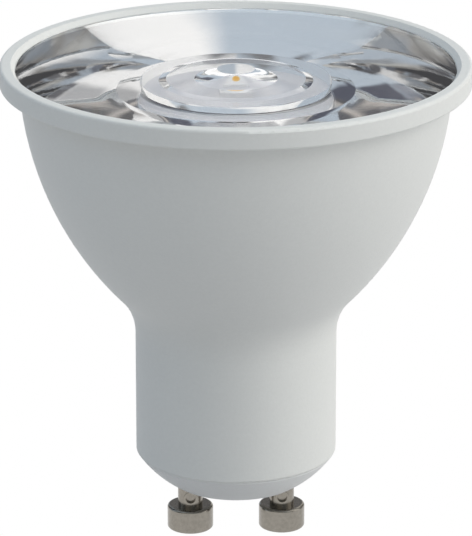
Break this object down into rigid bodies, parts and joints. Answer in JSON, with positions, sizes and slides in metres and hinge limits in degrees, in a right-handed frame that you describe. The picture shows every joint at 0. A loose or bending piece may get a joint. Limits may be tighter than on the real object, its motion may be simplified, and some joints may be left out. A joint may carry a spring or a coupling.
{
  "type": "gu10 spotlight bulb",
  "caption": "Spotlight bulb with a flat clear lens over a mirrored cone, in a white flared housing with a two-pin twist-lock base.",
  "frame": {"origin": "on the lamp's axis, level with the flat feet of the two contact pins", "axes": "+Z along the lamp's axis towards the lens, X through the two contact pins"},
  "size_m": [0.05, 0.05, 0.0529],
  "materials": {
    "white_housing": "fine matte white moulding",
    "base_white": "smooth matte white moulding, slightly cooler than the housing",
    "pin_nickel": "dull nickel plating",
    "sink_aluminium": "satin drawn aluminium",
    "reflector_mirror": "vacuum-metallised thin moulding",
    "lens_clear": "clear polished acrylic",
    "board_white": "white solder mask on an aluminium core",
    "pad_grey": "soft silicone pad",
    "emitter_white": "white reflective package",
    "phosphor_yellow": "yellow phosphor",
    "dome_clear": "clear silicone",
    "insulator_white": "thin white moulding",
    "driver_green": "green solder mask",
    "can_black": "shrunk black sleeve",
    "film_amber": "dipped amber resin",
    "chip_black": "moulded black resin",
    "ferrite_grey": "dull dark ferrite",
    "bobbin_black": "black moulding",
    "winding_copper": "lacquered copper wire",
    "lead_white": "wire insulation",
    "resistor_tan": "coated ceramic",
    "lead_red": "wire insulation",
    "lead_black": "wire insulation"
  },
  "bodies": {
    "root": {"housing": "white_housing", "base_cap": "base_white", "contact_pin_left": "pin_nickel", "contact_pin_right": "pin_nickel", "lens": "lens_clear", "reflector": "reflector_mirror", "heat_sink": "sink_aluminium", "led_board": "board_white", "thermal_pad": "pad_grey", "led_emitter": "emitter_white", "led_phosphor": "phosphor_yellow", "led_dome": "dome_clear", "insulating_cap": "insulator_white", "driver_board": "driver_green", "input_capacitor": "can_black", "film_capacitor": "film_amber", "bridge_rectifier": "chip_black", "output_diode": "chip_black", "driver_chip": "chip_black", "transformer_core": "ferrite_grey", "transformer_bobbin": "bobbin_black", "transformer_winding": "winding_copper", "mains_lead": "lead_white", "fusible_resistor": "resistor_tan", "led_lead_red": "lead_red", "led_lead_black": "lead_black"}
  },
  "joints": []
}
